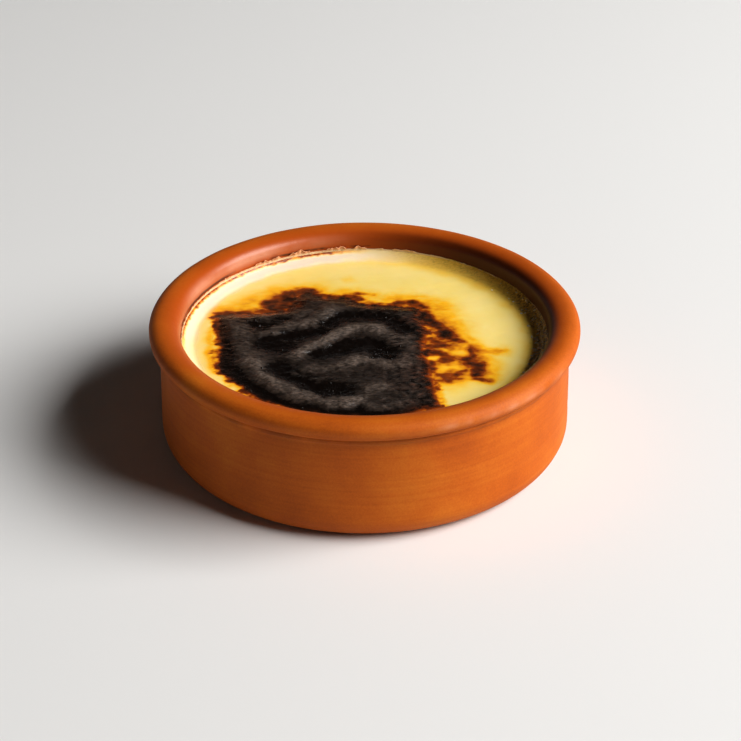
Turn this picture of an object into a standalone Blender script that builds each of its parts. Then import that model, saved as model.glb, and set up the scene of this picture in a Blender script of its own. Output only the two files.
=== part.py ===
"""Oven-baked rice pudding in its round terracotta dish.

The unit is the metre and +Z is up. The origin is the centre of the dish's flat base. There are two
solids: the wheel-thrown dish, with a rolled rim, and the set pudding, which fills it to just below
the rim, climbs a little at the wall and carries a patch of folded, burnt skin.
"""

import math

import bmesh
import bpy
import numpy as np

MM = 0.001

# Dish, outside
RIM_RADIUS = 60.0 * MM  # widest ring of the rolled rim
RIM_WIDEST_HEIGHT = 35.0 * MM
DISH_HEIGHT = 37.6 * MM  # top of the rim
CREST_RADIUS = 56.3 * MM  # ring on which the rim is highest
UNDERCUT_RADIUS = 58.2 * MM  # where the underside of the rim ends
UNDERCUT_HEIGHT = 32.4 * MM
COLLAR_RADIUS = 57.8 * MM  # low collar turned under the rim
COLLAR_HEIGHT = 31.6 * MM
COLLAR_FOOT_HEIGHT = 30.6 * MM
WALL_TOP_RADIUS = 57.2 * MM
WALL_TOP_HEIGHT = 30.0 * MM
WALL_FOOT_RADIUS = 57.8 * MM
FOOT_ROUNDING = 7.0 * MM
DISH_STEPS = 80  # facets round the dish
RIM_POINTS = 5  # points along the outer half of the rolled rim
UNDERCUT_POINTS = 4
FOOT_POINTS = 6

# Dish, inside
FLOOR_THICKNESS = 5.0 * MM
FLOOR_ROUNDING = 6.0 * MM
INNER_FOOT_RADIUS = 49.6 * MM  # inner wall where the rounding of the floor ends
LIP_INNER_RADIUS = 51.5 * MM  # inner wall where the lip starts to roll outwards
LIP_INNER_HEIGHT = 34.2 * MM
FLOOR_CORNER_POINTS = 5  # points along the rounding between the floor and the inner wall
LIP_POINTS = 6

# Pudding
CONTACT_GAP = 0.3 * MM  # between the pudding and the dish
PUDDING_LEVEL = 29.0 * MM
PUDDING_DOME = 0.4 * MM  # extra height of the middle of the flat part
CONTACT_HEIGHT = 31.5 * MM  # where the skin meets the wall
MENISCUS_WIDTH = 4.0 * MM  # ring in which the skin climbs the wall
MENISCUS_STRAIGHT = 0.6  # share of the climb that is an even slope; the rest curves upwards
GRID_CELLS = 48  # cells across the pudding's top
SIDE_RINGS = 2  # rings between the contact line and the rounding of the floor
LOWER_EDGE_POINTS = 4  # points along the pudding's rounded lower edge

# Burnt skin, in millimetres from the axis: its outline, its thickness, and its folds as
# (half width, height, points along the crest). A negative height is a hollow.
BURNT_THICKNESS = 0.6 * MM
BURNT_EDGE = 2.0 * MM  # width over which the burnt skin rises
GOLDEN_RING = 3.0 * MM  # width of the browned skin round the burnt patch
BURNT_OUTLINE = (
    (-43, 14), (-31, 15), (-28, 23), (-17, 28), (-10, 23), (2, 20.5), (17, 21), (17.5, 10),
    (21, 3), (29, -5), (33, -15), (33, -25), (21, -26), (21, -38), (10, -42), (-6, -42),
    (-20, -38), (-33, -28.5), (-41, -12), (-41, 2),
)
FOLDS = {
    "outer crescent": (
        2.6, 1.1, ((-37, 10), (-36, 3), (-33, -8), (-28, -19), (-19, -28), (-8, -34), (-3, -34.5)),
    ),
    "upper left fold": (2.2, 1.0, ((-27, 4), (-21, 8), (-15, 10.5), (-10, 15.5), (-3, 18))),
    "middle arch": (
        2.2, 1.1, ((-20, -10), (-14, -4.5), (-8, 0), (-4, 5), (0, 6), (5, 3.5), (10, 0), (15, -7)),
    ),
    "lower arch": (
        1.9, 0.9, ((-14, -17), (-8, -13.5), (-2, -11.3), (2, -13), (6, -15.5), (11, -13.5), (15, -10)),
    ),
    "low knob": (2.4, 0.7, ((0, -27), (4, -28))),
    "near ripple": (1.3, 0.5, ((0, -34.5), (9, -34.5))),
    "left hollow": (2.4, -0.5, ((-31, 8), (-25, 0), (-24, -7))),
    "upper hollow": (2.0, -0.6, ((-10, 11), (-3, 13), (5, 12), (9, 7))),
    "middle hollow": (2.2, -0.6, ((-14, -10), (-7, -7), (0, -3), (8, -7))),
    "lower hollow": (2.2, -0.6, ((-19, -20), (-13, -23), (-6, -28))),
}


def clear_scene():
    """Removes every object that the file starts with."""
    for obj in list(bpy.data.objects):
        bpy.data.objects.remove(obj, do_unlink=True)


def new_collection(name):
    """Adds a collection to the scene and returns it."""
    collection = bpy.data.collections.new(name)
    bpy.context.scene.collection.children.link(collection)
    return collection


def plain_material(name, colour, roughness):
    """Returns a Principled material; the colour is in linear red, green and blue."""
    material = bpy.data.materials.new(name)
    material.use_nodes = True
    shader = material.node_tree.nodes["Principled BSDF"]
    shader.inputs["Base Color"].default_value = (*colour, 1.0)
    shader.inputs["Roughness"].default_value = roughness
    shader.inputs["Metallic"].default_value = 0.0
    return material


def elliptic_arc(centre, radii, start, end, count):
    """Returns count points (r, z) on an ellipse, from the start angle to the end angle in degrees."""
    angles = [math.radians(start + (end - start) * i / (count - 1)) for i in range(count)]
    return [(centre[0] + radii[0] * math.cos(a), centre[1] + radii[1] * math.sin(a)) for a in angles]


def inner_wall_radius(height):
    """Radius of the dish's inside at a height between the floor's rounding and the lip."""
    low = FLOOR_THICKNESS + FLOOR_ROUNDING
    share = (height - low) / (LIP_INNER_HEIGHT - low)
    return INNER_FOOT_RADIUS + share * (LIP_INNER_RADIUS - INNER_FOOT_RADIUS)


def inner_corner(inset, count):
    """Rounding between the inner wall and the floor, from the wall down, moved inwards by inset."""
    centre = (INNER_FOOT_RADIUS - FLOOR_ROUNDING, FLOOR_THICKNESS + FLOOR_ROUNDING)
    radius = FLOOR_ROUNDING - inset
    return elliptic_arc(centre, (radius, radius), 0, -90, count)


def dish_profile():
    """Half section of the dish as points (r, z), from the middle of its floor over the rim to its base."""
    lip = (CREST_RADIUS - LIP_INNER_RADIUS, DISH_HEIGHT - LIP_INNER_HEIGHT)
    rim = (RIM_RADIUS - CREST_RADIUS, DISH_HEIGHT - RIM_WIDEST_HEIGHT)
    undercut = (RIM_RADIUS - UNDERCUT_RADIUS, RIM_WIDEST_HEIGHT - UNDERCUT_HEIGHT)
    foot_centre = (WALL_FOOT_RADIUS - FOOT_ROUNDING, FOOT_ROUNDING)
    return [
        (0.0, FLOOR_THICKNESS),
        *reversed(inner_corner(0.0, FLOOR_CORNER_POINTS)),
        *elliptic_arc((CREST_RADIUS, LIP_INNER_HEIGHT), lip, 180, 90, LIP_POINTS),
        *elliptic_arc((CREST_RADIUS, RIM_WIDEST_HEIGHT), rim, 75, 0, RIM_POINTS),
        *elliptic_arc((UNDERCUT_RADIUS, RIM_WIDEST_HEIGHT), undercut, -25, -90, UNDERCUT_POINTS),
        (COLLAR_RADIUS, COLLAR_HEIGHT),
        (COLLAR_RADIUS, COLLAR_FOOT_HEIGHT),
        (WALL_TOP_RADIUS, WALL_TOP_HEIGHT),
        *elliptic_arc(foot_centre, (FOOT_ROUNDING, FOOT_ROUNDING), 0, -90, FOOT_POINTS),
        (0.0, 0.0),
    ]


def build_dish(collection):
    """Turns the dish's half section round the axis."""
    points = [(r, 0.0, z) for r, z in dish_profile()]
    mesh = bpy.data.meshes.new("terracotta_dish")
    mesh.from_pydata(points, [(i, i + 1) for i in range(len(points) - 1)], [])
    dish = bpy.data.objects.new("terracotta_dish", mesh)
    collection.objects.link(dish)
    screw = dish.modifiers.new("turn", "SCREW")
    screw.axis = "Z"
    screw.angle = math.tau
    screw.steps = DISH_STEPS
    screw.render_steps = DISH_STEPS
    screw.use_merge_vertices = True
    screw.merge_threshold = 0.01 * MM
    screw.use_smooth_shade = True
    mesh.materials.append(plain_material("fired terracotta", (0.55, 0.16, 0.055), 0.6))
    return dish


def smooth_step(value):
    """0 below 0, 1 above 1, and a smooth curve between."""
    t = np.clip(value, 0.0, 1.0)
    return t * t * (3.0 - 2.0 * t)


def distance_to_line(x, y, points, closed=False):
    """Distance of each place to a line through points, which are given in millimetres."""
    corners = [(a * MM, b * MM) for a, b in points]
    pairs = zip(corners, corners[1:] + corners[:1]) if closed else zip(corners, corners[1:])
    nearest = np.full_like(x, np.inf)
    for (ax, ay), (bx, by) in pairs:
        dx, dy = bx - ax, by - ay
        share = np.clip(((x - ax) * dx + (y - ay) * dy) / (dx * dx + dy * dy), 0.0, 1.0)
        nearest = np.minimum(nearest, np.hypot(x - ax - share * dx, y - ay - share * dy))
    return nearest


def inside_outline(x, y, points):
    """True for each place inside the closed outline, which is given in millimetres."""
    corners = [(a * MM, b * MM) for a, b in points]
    inside = np.zeros(x.shape, bool)
    for (ax, ay), (bx, by) in zip(corners, corners[1:] + corners[:1]):
        crosses = (ay > y) != (by > y)
        inside ^= crosses & (x < ax + (bx - ax) * (y - ay) / (by - ay + 1e-12))
    return inside


def burnt_depth(x, y):
    """How far inside the burnt patch each place is, in metres; negative outside."""
    distance = distance_to_line(x, y, BURNT_OUTLINE, closed=True)
    return np.where(inside_outline(x, y, BURNT_OUTLINE), distance, -distance)


def pudding_surface(x, y):
    """Height of the pudding's top: a faint dome, the climb at the wall, and the burnt skin's folds."""
    edge = inner_wall_radius(CONTACT_HEIGHT) - CONTACT_GAP
    flat = edge - MENISCUS_WIDTH
    radius = np.hypot(x, y)
    height = PUDDING_LEVEL + PUDDING_DOME * (1.0 - np.minimum(radius / flat, 1.0) ** 2)
    climb = np.clip((radius - flat) / MENISCUS_WIDTH, 0.0, 1.0)
    curve = MENISCUS_STRAIGHT * climb + (1.0 - MENISCUS_STRAIGHT) * climb**2
    height += (CONTACT_HEIGHT - PUDDING_LEVEL) * curve
    skin = smooth_step(burnt_depth(x, y) / BURNT_EDGE + 0.5) * (1.0 - climb)
    height += BURNT_THICKNESS * skin
    for half_width, rise, points in FOLDS.values():
        distance = distance_to_line(x, y, points)
        height += rise * MM * skin * np.exp(-((distance / (half_width * MM)) ** 2))
    return height


def square_to_disc(u, v):
    """Maps a place in the square from -1 to 1 to the unit disc, so that equal areas stay equal."""
    reach = np.maximum(np.abs(u), np.abs(v))
    wide = np.abs(u) >= np.abs(v)
    safe_u = np.where(u == 0.0, 1.0, u)
    safe_v = np.where(v == 0.0, 1.0, v)
    angle = np.where(wide, math.pi / 4 * v / safe_u, math.pi / 2 - math.pi / 4 * u / safe_v)
    signed = np.where(wide, u, v)
    signed = np.where(reach == 0.0, 0.0, signed)
    return signed * np.cos(angle), signed * np.sin(angle)


def raise_top(mesh):
    """Turns the flat square grid into the round, folded top of the pudding."""
    edge = inner_wall_radius(CONTACT_HEIGHT) - CONTACT_GAP
    places = np.array([vert.co for vert in mesh.verts])
    x, y = square_to_disc(places[:, 0], places[:, 1])
    x, y = x * edge, y * edge
    for vert, place in zip(mesh.verts, zip(x, y, pudding_surface(x, y))):
        vert.co = place


def side_rings():
    """Radius and height of each ring of the pudding below its contact line, from the top down."""
    low = FLOOR_THICKNESS + FLOOR_ROUNDING
    heights = [CONTACT_HEIGHT + (low - CONTACT_HEIGHT) * i / SIDE_RINGS for i in range(1, SIDE_RINGS)]
    wall = [(inner_wall_radius(h) - CONTACT_GAP, h) for h in heights]
    return wall + inner_corner(CONTACT_GAP, LOWER_EDGE_POINTS)


def lower_sides(mesh):
    """Extrudes the edge of the top down the inside of the dish and closes the bottom."""
    rim = [edge for edge in mesh.edges if edge.is_boundary]
    for radius, height in side_rings():
        made = bmesh.ops.extrude_edge_only(mesh, edges=rim)["geom"]
        rim = [item for item in made if isinstance(item, bmesh.types.BMEdge)]
        for vert in (item for item in made if isinstance(item, bmesh.types.BMVert)):
            reach = math.hypot(vert.co.x, vert.co.y)
            vert.co = (vert.co.x * radius / reach, vert.co.y * radius / reach, height)
    bmesh.ops.edgeloop_fill(mesh, edges=rim)
    bmesh.ops.recalc_face_normals(mesh, faces=mesh.faces)


def colour_burnt_skin(mesh):
    """Gives the faces of the burnt patch, and of the golden ring round it, their own materials."""
    for face in mesh.faces:
        centre = face.calc_center_median()
        depth = float(burnt_depth(np.array([centre.x]), np.array([centre.y]))[0])
        if face.normal.z > 0.0 and depth > -GOLDEN_RING:
            face.material_index = 2 if depth > 0.0 else 1


def build_pudding(collection):
    """Models the pudding as a grid bent to a disc, raised to its relief and closed underneath."""
    solid = bmesh.new()
    bmesh.ops.create_grid(solid, x_segments=GRID_CELLS, y_segments=GRID_CELLS, size=1.0)
    raise_top(solid)
    lower_sides(solid)
    colour_burnt_skin(solid)
    mesh = bpy.data.meshes.new("rice_pudding")
    solid.to_mesh(mesh)
    solid.free()
    mesh.materials.append(plain_material("milk pudding skin", (0.93, 0.72, 0.26), 0.4))
    mesh.materials.append(plain_material("golden skin", (0.80, 0.40, 0.04), 0.4))
    mesh.materials.append(plain_material("burnt skin", (0.02, 0.012, 0.008), 0.5))
    mesh.shade_smooth()
    pudding = bpy.data.objects.new("rice_pudding", mesh)
    collection.objects.link(pudding)
    return pudding


def main():
    """Builds the dish and the pudding in a collection of their own."""
    clear_scene()
    parts = new_collection("baked rice pudding")
    build_dish(parts)
    build_pudding(parts)


main()
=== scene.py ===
"""Looks of an oven-baked rice pudding in its terracotta dish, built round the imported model.

Everything is in metres, +Z is up, and the origin is the centre of the dish's flat base. The dish is
thrown and glazed, the pudding is laid in it with its burnt, folded skin, and the milk that dried on
the wall, the flecks and the sugar beads are added on top. A small studio lights it from the right.
"""

import logging
import math
from dataclasses import dataclass, field
from enum import Enum

import bpy
import numpy as np
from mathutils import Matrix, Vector, noise


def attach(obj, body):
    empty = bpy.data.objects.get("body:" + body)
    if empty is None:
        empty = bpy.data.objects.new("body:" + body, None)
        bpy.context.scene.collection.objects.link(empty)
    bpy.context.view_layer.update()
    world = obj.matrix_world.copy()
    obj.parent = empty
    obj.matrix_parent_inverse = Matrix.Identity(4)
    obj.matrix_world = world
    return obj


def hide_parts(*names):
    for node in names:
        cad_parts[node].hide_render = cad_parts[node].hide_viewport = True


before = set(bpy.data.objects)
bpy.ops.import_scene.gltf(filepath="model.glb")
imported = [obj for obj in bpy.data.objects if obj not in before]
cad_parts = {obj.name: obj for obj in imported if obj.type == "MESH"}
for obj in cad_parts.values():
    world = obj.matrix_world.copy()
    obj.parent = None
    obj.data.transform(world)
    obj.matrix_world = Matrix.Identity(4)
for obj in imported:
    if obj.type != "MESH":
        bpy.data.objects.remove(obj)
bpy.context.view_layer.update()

MM = 0.001
BODY = "root"
LEAST_WEIGHT = 0.002  # points that would be lifted by less than this share stay where they are
log = logging.getLogger("rice_pudding")

Point = tuple[float, float]
Colour = tuple[float, float, float, float]
Piece = bpy.types.Object
Tree = bpy.types.NodeTree
Socket = bpy.types.NodeSocket


# ---------------------------------------------------------------------------------------------
# Small tools
# ---------------------------------------------------------------------------------------------


def linear(hex_colour: str) -> Colour:
    """Turns an sRGB hex colour into linear light.

    Args:
        hex_colour: The colour as "#RRGGBB".

    Returns:
        Linear red, green, blue and an alpha of 1.
    """
    parts = [int(hex_colour[i : i + 2], 16) / 255.0 for i in (1, 3, 5)]
    light = [p / 12.92 if p <= 0.04045 else ((p + 0.055) / 1.055) ** 2.4 for p in parts]
    return (light[0], light[1], light[2], 1.0)


def add_node(
    tree: Tree,
    kind: str,
    settings: dict[str | int, object] | None = None,
    links: dict[str | int, Socket] | None = None,
) -> bpy.types.Node:
    """Adds a node with its settings and its incoming links.

    Args:
        tree: The node tree that gets the node.
        kind: The node's type, such as "ShaderNodeTexNoise".
        settings: Values by property name, or by the name or number of an input.
        links: Output sockets by the name or number of the input that they feed.

    Returns:
        The new node.
    """
    node = tree.nodes.new(kind)
    for key, value in (settings or {}).items():
        if isinstance(key, str) and key in node.bl_rna.properties:
            setattr(node, key, value)
        else:
            node.inputs[key].default_value = value
    for key, socket in (links or {}).items():
        tree.links.new(socket, node.inputs[key])
    return node


def set_ramp(node: bpy.types.Node, stops: list[tuple[float, str]]) -> None:
    """Gives a colour ramp its stops.

    Args:
        node: A Color Ramp node.
        stops: Places from 0 to 1, each with an sRGB hex colour.
    """
    elements = node.color_ramp.elements
    while len(elements) < len(stops):
        elements.new(1.0)
    for element, (place, colour) in zip(elements, stops):
        element.position = place
        element.color = linear(colour)


def new_material(name: str) -> tuple[bpy.types.Material, Tree, bpy.types.Node]:
    """Makes a node material.

    Args:
        name: What the material is, in plain words.

    Returns:
        The material, its node tree and its Principled shader.
    """
    material = bpy.data.materials.new(name)
    material.use_nodes = True
    return material, material.node_tree, material.node_tree.nodes["Principled BSDF"]


def smooth_step(value: np.ndarray) -> np.ndarray:
    """Returns 0 below 0, 1 above 1, and a smooth curve between."""
    t = np.clip(value, 0.0, 1.0)
    return t * t * (3.0 - 2.0 * t)


def smooth_line(points: tuple[Point, ...], spans: int = 6) -> tuple[Point, ...]:
    """Draws a smooth curve through points.

    Args:
        points: The points that the curve passes, in order.
        spans: How many straight pieces lie between two points.

    Returns:
        The curve's points.
    """
    if len(points) < 3:
        return points
    ends = [points[0], *points, points[-1]]
    curve = []
    for before, start, end, after in zip(ends, ends[1:], ends[2:], ends[3:]):
        for step in range(spans):
            t = step / spans
            weights = (
                -0.5 * t + t * t - 0.5 * t**3,
                1.0 - 2.5 * t * t + 1.5 * t**3,
                0.5 * t + 2.0 * t * t - 1.5 * t**3,
                -0.5 * t * t + 0.5 * t**3,
            )
            four = (before, start, end, after)
            curve.append(tuple(sum(w * p[axis] for w, p in zip(weights, four)) for axis in (0, 1)))
    return (*curve, points[-1])


def line_distance(
    x: np.ndarray, y: np.ndarray, points: tuple[Point, ...], closed: bool = False
) -> np.ndarray:
    """Measures how far each place is from a line through points.

    Args:
        x: Places along X, in metres.
        y: Places along Y, in metres.
        points: The line's points, in millimetres.
        closed: Whether the last point is joined to the first.

    Returns:
        The distances in metres.
    """
    corners = [(a * MM, b * MM) for a, b in points]
    if len(corners) == 1:
        return np.hypot(x - corners[0][0], y - corners[0][1])
    ends = corners[1:] + corners[:1] if closed else corners[1:]
    nearest = np.full(x.shape, np.inf)
    for (ax, ay), (bx, by) in zip(corners, ends):
        dx, dy = bx - ax, by - ay
        share = np.clip(((x - ax) * dx + (y - ay) * dy) / (dx * dx + dy * dy), 0.0, 1.0)
        nearest = np.minimum(nearest, np.hypot(x - ax - share * dx, y - ay - share * dy))
    return nearest


def outline_depth(x: np.ndarray, y: np.ndarray, points: tuple[Point, ...]) -> np.ndarray:
    """Measures how far inside a closed outline each place is.

    Args:
        x: Places along X, in metres.
        y: Places along Y, in metres.
        points: The outline's corners, in millimetres.

    Returns:
        The depths in metres, negative outside.
    """
    corners = [(a * MM, b * MM) for a, b in points]
    inside = np.zeros(x.shape, bool)
    for (ax, ay), (bx, by) in zip(corners, corners[1:] + corners[:1]):
        crosses = (ay > y) != (by > y)
        inside ^= crosses & (x < ax + (bx - ax) * (y - ay) / (by - ay + 1e-12))
    distance = line_distance(x, y, points, closed=True)
    return np.where(inside, distance, -distance)


def toward(x: np.ndarray, y: np.ndarray, bearing: float, least: float, most: float) -> np.ndarray:
    """Returns 1 for places near a bearing from the dish's axis, and 0 for places well off it.

    Args:
        x: The places' X.
        y: The places' Y.
        bearing: The bearing in degrees from +X towards +Y.
        least: The cosine of the angle off the bearing at which the share is 0.
        most: The cosine of the angle at which it is 1.

    Returns:
        The share of each place.
    """
    aligned = np.cos(np.arctan2(y, x) - math.radians(bearing))
    return smooth_step((aligned - least) / (most - least))


def noise_field(
    x: np.ndarray, y: np.ndarray, size: float, octaves: int = 3, stretch: float = 1.0, layer: float = 0.0
) -> np.ndarray:
    """Makes fractal noise over a flat area.

    Args:
        x: Places along X, in metres.
        y: Places along Y, in metres.
        size: Width of the largest lumps, in metres.
        octaves: How many finer layers are added, each half as wide.
        stretch: How much longer the lumps are along X.
        layer: Height at which the noise is cut, which sets one field apart from another.

    Returns:
        Values from about -1 to 1.
    """
    places = zip(x / (size * stretch), y / size)
    return np.array([noise.fractal((a, b, layer), 1.0, 2.0, octaves) for a, b in places])


def elliptic_arc(centre: Point, radii: Point, start: float, end: float, count: int) -> list[Point]:
    """Works out points on an ellipse.

    Args:
        centre: Middle of the ellipse (r, z).
        radii: Its two radii.
        start: First angle in degrees.
        end: Last angle in degrees.
        count: How many points.

    Returns:
        The points (r, z), from the first angle to the last.
    """
    angles = [math.radians(start + (end - start) * i / (count - 1)) for i in range(count)]
    return [(centre[0] + radii[0] * math.cos(a), centre[1] + radii[1] * math.sin(a)) for a in angles]


def activate(piece: Piece) -> None:
    """Makes a piece the only selected one, and the active one.

    Args:
        piece: The piece that the next operators work on.
    """
    bpy.ops.object.select_all(action="DESELECT")
    piece.select_set(True)
    bpy.context.view_layer.objects.active = piece


def apply_modifier(piece: Piece, kind: str, **settings: object) -> None:
    """Adds a modifier to a piece and applies it.

    Args:
        piece: The piece that is changed.
        kind: The modifier's type, such as "SOLIDIFY".
        **settings: The modifier's properties by name.
    """
    activate(piece)
    modifier = piece.modifiers.new(kind.lower(), kind)
    for name, value in settings.items():
        setattr(modifier, name, value)
    bpy.ops.object.modifier_apply(modifier=modifier.name)


def extend_edge(radius: float, height: float, rings: list[Point]) -> None:
    """Extrudes the open, round edge of the active piece from ring to ring, and stays in edit mode.

    Args:
        radius: The open edge's radius.
        height: Its height.
        rings: Radius and height of each new ring.
    """
    bpy.ops.object.mode_set(mode="EDIT")
    bpy.ops.mesh.select_mode(type="EDGE")
    bpy.ops.mesh.select_all(action="DESELECT")
    bpy.ops.mesh.select_non_manifold()
    for next_radius, next_height in rings:
        rise = (0.0, 0.0, next_height - height)
        bpy.ops.mesh.extrude_edges_move(TRANSFORM_OT_translate={"value": rise})
        share = next_radius / radius
        bpy.ops.transform.resize(value=(share, share, 1.0), center_override=(0.0, 0.0, next_height))
        radius, height = next_radius, next_height


def raise_by(piece: Piece, name: str, share: np.ndarray, height: float) -> None:
    """Lifts a piece's points through a vertex group and a Displace modifier.

    Args:
        piece: The piece that is changed.
        name: What the lift makes, used for the vertex group.
        share: How much of the height each point gets, from 0 to 1.
        height: The full lift in metres; it may be negative.
    """
    group = piece.vertex_groups.new(name=name)
    for index in np.flatnonzero(share > LEAST_WEIGHT):
        group.add((int(index),), float(share[index]), "REPLACE")
    apply_modifier(piece, "DISPLACE", direction="Z", strength=height, mid_level=0.0, vertex_group=name)
    piece.vertex_groups.remove(piece.vertex_groups[name])


def paint(piece: Piece, name: str, values: np.ndarray) -> None:
    """Stores one number for each point of a piece, for its material to read."""
    attribute = piece.data.attributes.new(name, "FLOAT", "POINT")
    attribute.data.foreach_set("value", values.astype(np.float32))


def dress(piece: Piece, material: bpy.types.Material, crease: float) -> None:
    """Shades a piece smooth but for its creases, and gives it its material.

    Args:
        piece: The piece that is dressed.
        material: Its finish.
        crease: The angle in degrees above which an edge stays sharp.
    """
    activate(piece)
    bpy.ops.object.shade_smooth_by_angle(angle=math.radians(crease))
    piece.data.materials.append(material)


def add_to_model(piece: Piece, replaced: str | None = None) -> None:
    """Hands a finished piece to the frame.

    Args:
        piece: The finished piece, with its object at the origin.
        replaced: The node that the piece stands for, if there is one.
    """
    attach(piece, BODY)
    if replaced:
        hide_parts(replaced)
    log.info("%s: %d faces", piece.name, len(piece.data.polygons))


def places_of(piece: Piece) -> tuple[np.ndarray, np.ndarray, np.ndarray]:
    """Reads the places of a piece's points.

    Args:
        piece: The piece whose points are read.

    Returns:
        Three arrays in metres, one number for each point.
    """
    flat = np.empty(len(piece.data.vertices) * 3)
    piece.data.vertices.foreach_get("co", flat)
    return flat[0::3].copy(), flat[1::3].copy(), flat[2::3].copy()


# ---------------------------------------------------------------------------------------------
# Finishes
# ---------------------------------------------------------------------------------------------


@dataclass(frozen=True)
class Terracotta:
    """Red earthenware, thrown on a wheel, fired, and glazed clear on the inside.

    The eye sees a dry, even orange with fine grog and faint turning lines outside, and a deeper,
    glossier red brown where the glaze begins on the lip.
    """

    pale: str = "#C6701C"
    clay: str = "#BB6012"
    dark: str = "#A8520E"
    glazed: str = "#AD5116"
    # dark colour of the line on the glaze, and of the painted shade in the lip and under the rim
    dark_line_and_shade: str = "#35150A"
    painted_sheen: str = "#E2B49C"  # painted sheen on the inner lip, and painted highlight on the rim's widest line
    grog: float = 0.5 * MM  # grains of fired clay
    turning_lines: float = 1.1 * MM  # spacing of the faint lines left by the wheel
    blush: float = 22.0 * MM  # patches of paler and darker firing
    dents: float = 5.0 * MM  # width of the shallow dents left by the potter's fingers
    dark_line_height: float = 32.7 * MM  # height of the thin dark line on the glaze, just above the frill
    dark_line_wave: float = 9.0 * MM  # length of its waves
    dark_line_rise: float = 1.2 * MM  # height of its waves
    glaze_outer: float = 57.5 * MM  # radius on the lip where the glaze begins
    glaze_inner: float = 53.0 * MM  # radius inside which it is full
    glaze_floor: float = 20.0 * MM  # below this height nothing is glazed
    bare_roughness: float = 0.55
    glaze_roughness: float = 0.26
    grog_roughness: float = 0.12  # how much duller a coarse grain is
    specular: float = 0.24
    relief: float = 0.06 * MM

    def material(self) -> bpy.types.Material:
        """Mixes the clay's colour, gloss and grain, and lays the glaze over it.

        Returns:
            The material. It reads two point values: the painted shade, and the painted sheen and highlight.
        """
        material, tree, shader = new_material("terracotta, wheel-thrown, fired and glazed inside")
        place = add_node(tree, "ShaderNodeTexCoord").outputs["Object"]
        stretched = add_node(tree, "ShaderNodeMapping", {"Scale": (0.02, 0.02, 1.0)}, {"Vector": place})
        turned = stretched.outputs["Vector"]
        blush, lines, grog, dents = (
            add_node(
                tree, "ShaderNodeTexNoise", {"Scale": 1.0 / size, "Detail": detail}, {"Vector": where}
            ).outputs["Fac"]
            for size, detail, where in (
                (self.blush, 4.0, place),
                (self.turning_lines, 3.0, turned),
                (self.grog, 2.0, place),
                (self.dents, 2.0, place),
            )
        )
        glaze = self.glaze_cover(tree, place, blush)
        colour = self.clay_colour(tree, place, glaze, blush, lines, grog)
        tree.links.new(colour, shader.inputs["Base Color"])
        shader.inputs["Specular IOR Level"].default_value = self.specular
        rough = add_node(
            tree,
            "ShaderNodeMapRange",
            {"To Min": self.bare_roughness, "To Max": self.glaze_roughness},
            {"Value": glaze},
        )
        uneven = add_node(
            tree,
            "ShaderNodeMath",
            {"operation": "MULTIPLY_ADD", 1: self.grog_roughness},
            {0: grog, 2: rough.outputs["Result"]},
        )
        tree.links.new(uneven.outputs["Value"], shader.inputs["Roughness"])
        relief = grog
        for source, share in ((lines, 0.6), (dents, 5.0)):
            relief = add_node(
                tree, "ShaderNodeMath", {"operation": "MULTIPLY_ADD", 1: share}, {0: source, 2: relief}
            ).outputs["Value"]
        bump = add_node(
            tree, "ShaderNodeBump", {"Strength": 0.35, "Distance": self.relief}, {"Height": relief}
        )
        tree.links.new(bump.outputs["Normal"], shader.inputs["Normal"])
        return material

    def clay_colour(
        self, tree: Tree, place: Socket, glaze: Socket, blush: Socket, lines: Socket, grog: Socket
    ) -> Socket:
        """Colours the clay, then lays the glaze, the dark line, painted shade and painted sheen over it.

        Args:
            tree: The clay's node tree.
            place: The place on the object.
            glaze: 1 where the dish is glazed.
            blush: Noise at the size of the paler and darker patches.
            lines: Noise at the spacing of the turning lines.
            grog: Noise at the size of the grains.

        Returns:
            The socket with the finished colour. It reads the painted shade and the painted sheen.
        """
        tone = add_node(tree, "ShaderNodeMath", {"operation": "MULTIPLY", 1: 0.55}, {0: blush})
        for source, share in ((lines, 0.22), (grog, 0.23)):
            tone = add_node(
                tree,
                "ShaderNodeMath",
                {"operation": "MULTIPLY_ADD", 1: share},
                {0: source, 2: tone.outputs["Value"]},
            )
        clay = add_node(tree, "ShaderNodeValToRGB", None, {"Fac": tone.outputs["Value"]})
        set_ramp(clay, [(0.36, self.dark), (0.5, self.clay), (0.64, self.pale)])
        # Painted shade inside the lip and under the rim, joined with the dark line on the glaze.
        painted_shade = add_node(tree, "ShaderNodeAttribute", {"attribute_name": "painted_shade"})
        line_and_shade = add_node(
            tree,
            "ShaderNodeMath",
            {"operation": "MAXIMUM"},
            {0: self.dark_line(tree, place, glaze), 1: painted_shade.outputs["Fac"]},
        )
        # Painted sheen and highlight: a pale colour where the light's reflection falls, in patches.
        sheen_patches = add_node(
            tree,
            "ShaderNodeMapRange",
            {"From Min": 0.35, "From Max": 0.62, "To Min": 0.12, "To Max": 0.55},
            {"Value": blush},
        )
        painted_sheen = add_node(tree, "ShaderNodeAttribute", {"attribute_name": "painted_sheen"})
        sheen_share = add_node(
            tree,
            "ShaderNodeMath",
            {"operation": "MULTIPLY"},
            {0: painted_sheen.outputs["Fac"], 1: sheen_patches.outputs["Result"]},
        )
        colour = clay.outputs["Color"]
        for share, coat in (
            (glaze, self.glazed),
            (line_and_shade.outputs["Value"], self.dark_line_and_shade),
            (sheen_share.outputs["Value"], self.painted_sheen),
        ):
            colour = add_node(
                tree, "ShaderNodeMix", {"data_type": "RGBA", 7: linear(coat)}, {0: share, 6: colour}
            ).outputs[2]
        return colour

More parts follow.
